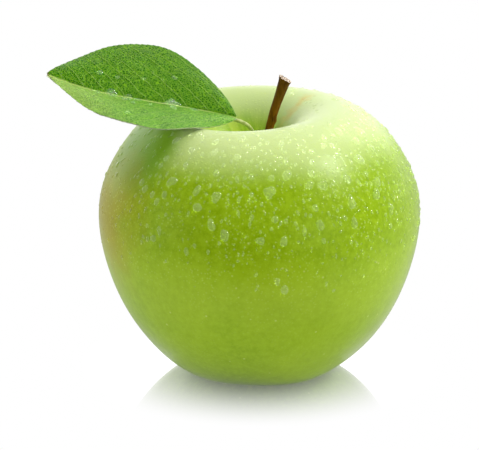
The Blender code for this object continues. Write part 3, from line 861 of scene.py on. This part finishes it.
chance = random.Random(7)
bm = bmesh.new()
for number in range(STAMEN_COUNT):
    turn = 2.0 * math.pi * number / STAMEN_COUNT + chance.uniform(-0.2, 0.2)
    foot_radius = chance.uniform(0.3, 0.75)
    reach = chance.uniform(0.3, 1.0)
    length = STAMEN_LENGTH * chance.uniform(0.75, 1.0)
    out = Vector((math.cos(turn), math.sin(turn), 0.0))
    points = []
    for step in range(5):
        share = step / 4
        wiggle = 0.18 * noise.noise(Vector((number * 2.0, share * 3.0, 0.5)))
        spot = out * (foot_radius + reach * share ** 2) + out.yx.to_3d() * wiggle
        points.append((spot.x, spot.y, STAMEN_TOP - length * share, STAMEN_RADIUS))
    thread = rod_mesh("thread", points, 8, 24, stamen_swell, cap_rings=1)
    bm.from_mesh(thread)
    bpy.data.meshes.remove(thread)
for face in bm.faces:
    face.material_index = 0
stamen_mesh = bpy.data.meshes.new("stamen_threads")
bm.to_mesh(stamen_mesh)
bm.free()
stamen_mesh.shade_smooth()
stamen_mesh.materials.append(dried_stamen)
stamen_threads = new_object("stamen_threads", stamen_mesh)
stamen_threads.location = AXIS_FOOT
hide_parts("stamen_tuft")
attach(stamen_threads, "root")


# ---------------------------------------------------------------------------
# Water.  The apple is wet: a dense mist of small beads on its upper half, larger drops
# where they ran together, and a few on the leaf.  Wax makes them stand up round.

# Clear water.  It shows by its shape: pale glints, and the green bent behind it.  Light
# passes on to the skin, so a drop casts no dark shadow; a white share that is not clear is painted light
# that makes it look a little paler than the skin.
water, tree, shader = new_material("clear_water")
ripple_at = add(tree, "ShaderNodeTexCoord").outputs["Object"]
ripple = add(tree, "ShaderNodeTexNoise", {"Vector": ripple_at, "Scale": 500.0}).outputs["Fac"]
ripple_bump = add(tree, "ShaderNodeBump", {"Strength": 0.1, "Distance": 0.0001, "Height": ripple})
tree.links.new(ripple_bump.outputs[0], shader.inputs["Normal"])
# Painted light: the white base colour of the share that is not clear makes the drop paler, for light
# gathered inside it.
shader.inputs["Base Color"].default_value = hex_colour("#ffffff")
shader.inputs["Roughness"].default_value = 0.04
shader.inputs["IOR"].default_value = 1.333
shader.inputs["Transmission Weight"].default_value = 0.93
let_through = add(tree, "ShaderNodeBsdfTransparent").outputs[0]
for_shadow = add(tree, "ShaderNodeLightPath").outputs["Is Shadow Ray"]
wet = add(tree, "ShaderNodeMixShader", {0: for_shadow, 1: shader.outputs[0], 2: let_through}).outputs[0]
tree.links.new(wet, tree.nodes["Material Output"].inputs["Surface"])


def surface_tree(thing):
    """A search tree of the object's finished surface, in the frame's own coordinates."""
    bpy.context.view_layer.update()
    evaluated = thing.evaluated_get(bpy.context.evaluated_depsgraph_get())
    mesh = evaluated.to_mesh()
    corners = [thing.matrix_world @ corner.co for corner in mesh.vertices]
    faces = [tuple(face.vertices) for face in mesh.polygons]
    return BVHTree.FromPolygons(corners, faces)


def add_drop(bm, skin, spot, normal, length, width, rise, slant, chance, rings, sides):
    """One bead of water: its foot follows the skin under it, its back is a low dome."""
    down = Vector((0.0, 0.0, -1.0))
    fall = down - normal * normal.dot(down)
    fall = fall.normalized() if fall.length > 0.05 else normal.orthogonal().normalized()
    across = normal.cross(fall)
    main = fall * math.cos(slant) + across * math.sin(slant)
    other = normal.cross(main)
    uneven = 0.03 + 0.045 * min(length, width)
    wobble = [chance.uniform(-uneven, uneven) for _ in range(3)]
    phase = chance.uniform(0.0, 6.28)
    rows = []
    for ring in range(rings):
        out = (ring + 1) / rings
        row = []
        for number in range(sides):
            turn = 2.0 * math.pi * number / sides
            edge = 1.0 + wobble[0] * math.cos(2 * turn + phase) + wobble[1] * math.cos(3 * turn)
            edge += wobble[2] * math.sin(4 * turn + phase) * 0.5
            step = main * (math.cos(turn) * length * out * edge)
            step += other * (math.sin(turn) * width * out * edge)
            hit, _, _, _ = skin.find_nearest(spot + step * 0.5 * MM)
            lift = rise * (1.0 - out ** 2.6) ** 0.6 - 0.02
            row.append(bm.verts.new(hit + normal * lift * MM))
        rows.append(row)
    top = bm.verts.new(spot + normal * (rise - 0.02) * MM)
    for number in range(sides):
        bm.faces.new((top, rows[0][number], rows[0][(number + 1) % sides]))
    for inner, outer in zip(rows, rows[1:]):
        for number in range(sides):
            after = (number + 1) % sides
            bm.faces.new((inner[number], outer[number], outer[after], inner[after]))


# Zones of larger drops on the fruit: turn round the axis from +X and its spread (degrees),
# height and its spread, how many, smallest and largest width (millimetres).
LARGE_DROP_ZONES = (
    (265, 45, 50, 9, 16, 1.5, 2.6),     # across the front, at the widest part
    (300, 25, 52, 8, 12, 1.5, 2.8),     # run together on the front right
    (290, 50, 60, 6, 12, 1.4, 2.2),     # on the shoulder above them
    (320, 20, 65, 3, 4, 2.0, 3.0),      # beads on the right of the rim
    (240, 20, 58, 6, 6, 1.4, 2.0),      # fewer under the leaf
    (285, 15, 28, 12, 3, 1.2, 2.4),     # strays on the lower front
    (90, 60, 52, 12, 16, 2.0, 3.0),     # the back
)

LARGE_DROP_RISE = 0.30      # height for each unit of width
SMALL_DROP_RISE = 0.20
LEAF_DROP_RISE = 0.22

skin_tree = surface_tree(fruit_skin)
drops = bmesh.new()
taken = []
chance = random.Random(2611)


def free_spot(spot, reach):
    """True if no earlier drop comes within reach of this one."""
    return all((spot - other).length > (reach + size) * 0.55 * MM for other, size in taken)


def skin_spot(turn, height):
    """The place on the fruit at a turn round its axis and a height, and the way out there."""
    way = Vector((math.cos(turn), math.sin(turn), 0.0))
    start = AXIS_FOOT + Vector((0.0, 0.0, height * MM)) + way * 2.0 * FRUIT_RADIUS * MM
    hit, normal, _, _ = skin_tree.ray_cast(start, -way)
    return hit, normal


for turn, turn_spread, height, height_spread, count, width_low, width_high in LARGE_DROP_ZONES:
    for _ in range(count):
        spot, normal = skin_spot(math.radians(turn + chance.uniform(-turn_spread, turn_spread)),
                                 height + chance.uniform(-height_spread, height_spread))
        width = chance.uniform(width_low, width_high)
        length = width * chance.uniform(0.9, 1.7)
        if spot is None or not free_spot(spot, length):
            continue
        add_drop(drops, skin_tree, spot, normal, length, width, LARGE_DROP_RISE * width,
                 chance.uniform(-0.6, 0.6), chance, 8, 26)
        taken.append((spot, length))

# The rest fall by chance: smallest and largest width, how many tries, rings, sides.
DROP_SIZES = (
    (1.2, 1.9, 700, 5, 14),
    (0.7, 1.2, 4200, 3, 9),
    (0.45, 0.7, 7000, 2, 7),
)
for size_low, size_high, tries, rings, sides in DROP_SIZES:
    for _ in range(tries):
        turn = chance.uniform(0.0, 2.0 * math.pi)
        height = chance.uniform(8.0, 67.0)
        if chance.random() > smooth_step(30.0, 58.0, height):
            continue
        # Fewest where the leaf kept the water off, most on the side away from it.
        if chance.random() > 0.50 + 0.38 * math.cos(turn - math.radians(-35.0)):
            continue
        spot, normal = skin_spot(turn, height)
        size = chance.uniform(size_low, size_high)
        if spot is None or not free_spot(spot, size):
            continue
        stretch = chance.uniform(0.95, 1.45)
        add_drop(drops, skin_tree, spot, normal, size * stretch, size / stretch, SMALL_DROP_RISE * size,
                 chance.uniform(-0.4, 0.4), chance, rings, sides)
        taken.append((spot, size))

drop_mesh = bpy.data.meshes.new("fruit_water_drops")
bmesh.ops.recalc_face_normals(drops, faces=drops.faces)
drops.to_mesh(drop_mesh)
drops.free()
drop_mesh.shade_smooth()
drop_mesh.materials.append(water)
fruit_drops = new_object("fruit_water_drops", drop_mesh)
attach(fruit_drops, "root")

# Drops on the leaf, over half of them gathered in the fold along the midrib.
FOLD_DROPS = 12
BLADE_DROPS = 10

leaf_tree = surface_tree(leaf_blade)
drops = bmesh.new()
for number in range(FOLD_DROPS + BLADE_DROPS):
    in_fold = number < FOLD_DROPS
    share = chance.uniform(0.2, 0.8)
    across = chance.uniform(-0.25, 0.10) if in_fold else chance.uniform(-0.75, 0.55)
    middle, _ = leaf_surface(share, across)
    above = AXIS_FOOT + middle * MM + Vector((0.0, 0.0, 10.0)) * MM
    spot, normal, _, _ = leaf_tree.ray_cast(above, Vector((0.0, 0.0, -1.0)))
    width = chance.uniform(1.2, 2.0) if in_fold else chance.uniform(1.0, 1.5)
    length = width * chance.uniform(1.1, 2.4 if in_fold else 1.3)
    add_drop(drops, leaf_tree, spot, normal, width, length, LEAF_DROP_RISE * width,
             0.0, chance, 6, 20)
leaf_drop_mesh = bpy.data.meshes.new("leaf_water_drops")
bmesh.ops.recalc_face_normals(drops, faces=drops.faces)
drops.to_mesh(leaf_drop_mesh)
drops.free()
leaf_drop_mesh.shade_smooth()
leaf_drop_mesh.materials.append(water)
leaf_drops = new_object("leaf_water_drops", leaf_drop_mesh)
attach(leaf_drops, "root")


# ---------------------------------------------------------------------------
# Stage.  A white acrylic board lit from below.  It shows little shadow and mirrors the
# apple near its foot.  A key box stands high on the right, with wide soft fill around it.

BOARD_SIDE = 1.5
BOARD_FRONT = -0.085        # its front edge, just outside the picture
BOARD_LIGHT = 0.56
BOARD_MIDDLE = Vector((0.0, BOARD_FRONT + BOARD_SIDE / 2.0, -0.00005))
POLISH_FULL = 0.012         # how far from the apple's foot the polish is at its best
POLISH_ENDS = 0.045         # and where it has faded out

floor_mesh = bpy.data.meshes.new("white_board")
bm = bmesh.new()
bmesh.ops.create_grid(bm, x_segments=2, y_segments=2, size=BOARD_SIDE / 2.0)
bm.to_mesh(floor_mesh)
bm.free()
floor = new_object("white_board", floor_mesh)
floor.location = BOARD_MIDDLE

# Lit white acrylic.  Its own light makes it evenly white, and its polish, strongest round
# the apple's foot, gives a mirror image that fades out within a few centimetres.
acrylic, tree, shader = new_material("lit_white_acrylic")
tree.nodes.remove(shader)
place = add(tree, "ShaderNodeTexCoord").outputs["Object"]
from_foot = add(tree, "ShaderNodeVectorMath", {0: place, 1: AXIS_FOOT - BOARD_MIDDLE},
                operation="DISTANCE").outputs["Value"]
polish = add(tree, "ShaderNodeMapRange", {0: from_foot, 1: POLISH_FULL, 2: POLISH_ENDS, 3: 0.88, 4: 0.0},
             interpolation_type="SMOOTHSTEP").outputs[0]
mirror = add(tree, "ShaderNodeBsdfGlossy", {"Color": (1.0, 1.0, 1.0, 1.0), "Roughness": 0.03}).outputs[0]
seen = add(tree, "ShaderNodeLightPath").outputs["Is Camera Ray"]
output = add(tree, "ShaderNodeMapRange", {0: seen, 3: BOARD_LIGHT, 4: 1.0}).outputs[0]
glow = add(tree, "ShaderNodeEmission", {"Color": (1.0, 1.0, 1.0, 1.0), "Strength": output}).outputs[0]
board = add(tree, "ShaderNodeMixShader", {0: polish, 1: glow, 2: mirror}).outputs[0]
tree.links.new(board, tree.nodes["Material Output"].inputs["Surface"])
floor_mesh.materials.append(acrylic)


def softbox(name, place, side, power, glossy=True):
    """A square studio box that faces the apple.  A fill that is not glossy leaves no glint."""
    light = bpy.data.lights.new(name, "AREA")
    light.shape = "SQUARE"
    light.size = side
    light.energy = power
    box = new_object(name, light)
    box.location = place
    box.rotation_euler = (Vector((0.0, 0.0, 0.04)) - Vector(place)).to_track_quat("-Z", "Y").to_euler()
    box.visible_glossy = glossy
    box.visible_transmission = False


softbox("key_box", (0.66, -0.10, 0.78), 0.26, 6.5)
softbox("top_box", (-0.05, 0.15, 1.10), 0.9, 3.0, glossy=False)
softbox("left_fill", (-1.04, -0.33, 0.14), 0.7, 9.5, glossy=False)
softbox("right_fill", (0.76, -0.79, 0.14), 0.7, 8.0, glossy=False)

world = bpy.data.worlds.new("white_studio")
bpy.context.scene.world = world
world.use_nodes = True
tree = world.node_tree
tree.nodes.clear()
seen = add(tree, "ShaderNodeLightPath").outputs["Is Camera Ray"]
way = add(tree, "ShaderNodeTexCoord").outputs["Generated"]
backdrop = add(tree, "ShaderNodeVectorMath", {0: way, 1: (0.0, 1.0, 0.0)},
               operation="DOT_PRODUCT").outputs["Value"]
behind = add(tree, "ShaderNodeMapRange", {0: backdrop, 1: 0.10, 2: 0.75, 3: 0.0, 4: 1.45},
             interpolation_type="SMOOTHSTEP").outputs[0]
strength = add(tree, "ShaderNodeMix", {0: seen, 2: behind, 3: 1.0}, data_type="FLOAT").outputs[0]
light = add(tree, "ShaderNodeBackground", {"Color": (1.0, 1.0, 1.0, 1.0), "Strength": strength})
add(tree, "ShaderNodeOutputWorld", {"Surface": light.outputs[0]})
bpy.context.scene.view_settings.view_transform = "Standard"


# ---------------------------------------------------------------------------
# Camera.  A long lens a little above the apple, aimed between the fruit and the leaf.

VIEW_DISTANCE = 0.9
VIEW_ELEVATION = math.radians(17.5)
VIEW_TARGET = AXIS_FOOT + Vector((-4.9, 0.0, 36.7)) * MM

lens = bpy.data.cameras.new("studio_camera")
lens.sensor_width = 36.0
lens.lens = 273.0
camera = new_object("studio_camera", lens)
toward = Vector((0.0, math.cos(VIEW_ELEVATION), -math.sin(VIEW_ELEVATION)))
camera.location = VIEW_TARGET - toward * VIEW_DISTANCE
camera.rotation_euler = toward.to_track_quat("-Z", "Y").to_euler()
bpy.context.scene.camera = camera
